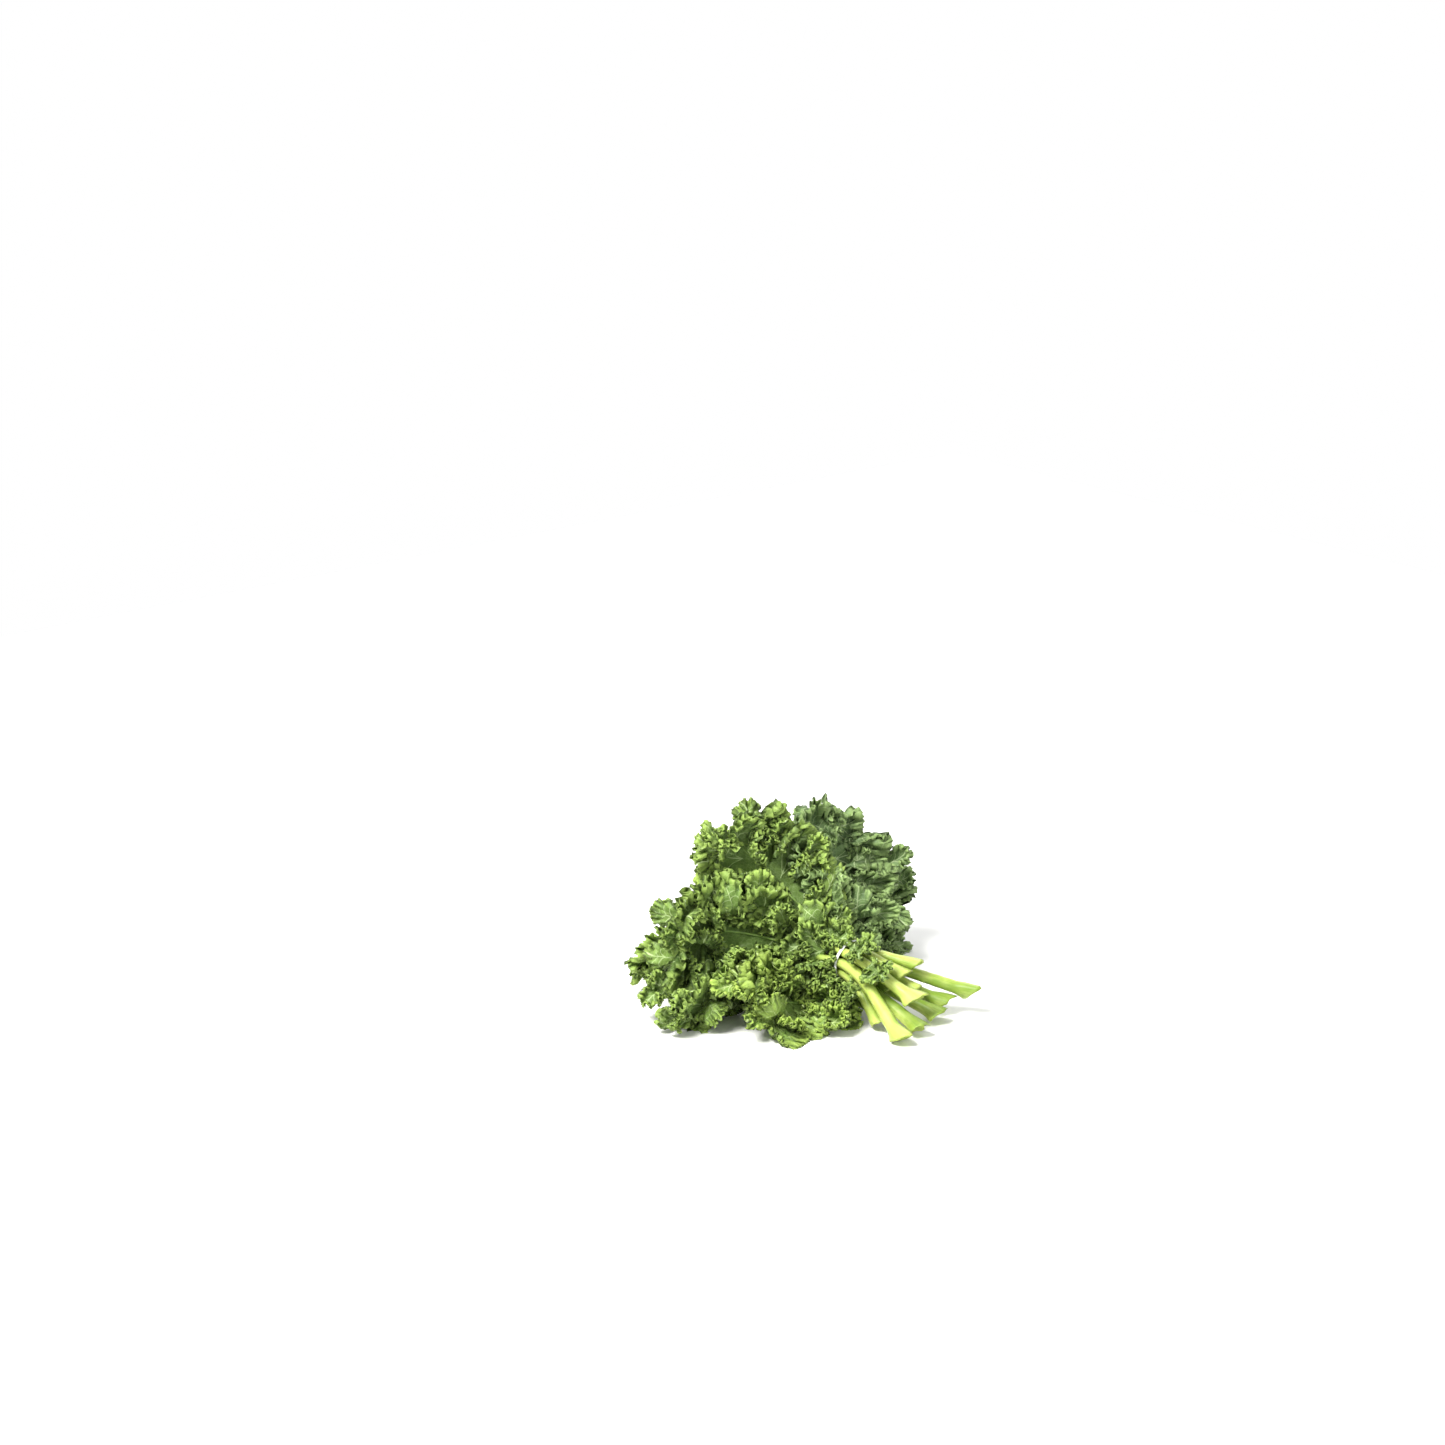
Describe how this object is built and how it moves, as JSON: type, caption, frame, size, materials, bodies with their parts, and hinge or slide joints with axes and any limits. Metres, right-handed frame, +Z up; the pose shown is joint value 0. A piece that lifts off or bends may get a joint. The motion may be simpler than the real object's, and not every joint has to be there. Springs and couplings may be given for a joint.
{
  "type": "kale bunch",
  "caption": "Bunch of curly kale lying on its side, its ruffled leaves gathered at their stems by a plain twist tie.",
  "frame": {"origin": "on the surface that the bunch lies on, under the middle of the whole bunch", "axes": "+X along the bunch towards the cut stem ends, +Y to one side of it, +Z up"},
  "size_m": [0.3606, 0.3804, 0.213],
  "materials": {
    "stem": "smooth, waxy, fibrous",
    "blade": "matt, waxy, finely wrinkled",
    "tie": "satin"
  },
  "bodies": {
    "root": {"stem_01": "stem", "stem_02": "stem", "stem_03": "stem", "stem_04": "stem", "stem_05": "stem", "stem_06": "stem", "stem_07": "stem", "stem_08": "stem", "stem_09": "stem", "stem_10": "stem", "stem_11": "stem", "stem_12": "stem", "blade_01": "blade", "blade_02": "blade", "blade_03": "blade", "blade_04": "blade", "blade_05": "blade", "blade_06": "blade", "blade_07": "blade", "blade_08": "blade", "blade_09": "blade", "blade_10": "blade", "blade_11": "blade", "blade_12": "blade", "leaflet_1": "blade", "leaflet_2": "blade", "leaflet_3": "blade", "tie": "tie"}
  },
  "joints": []
}
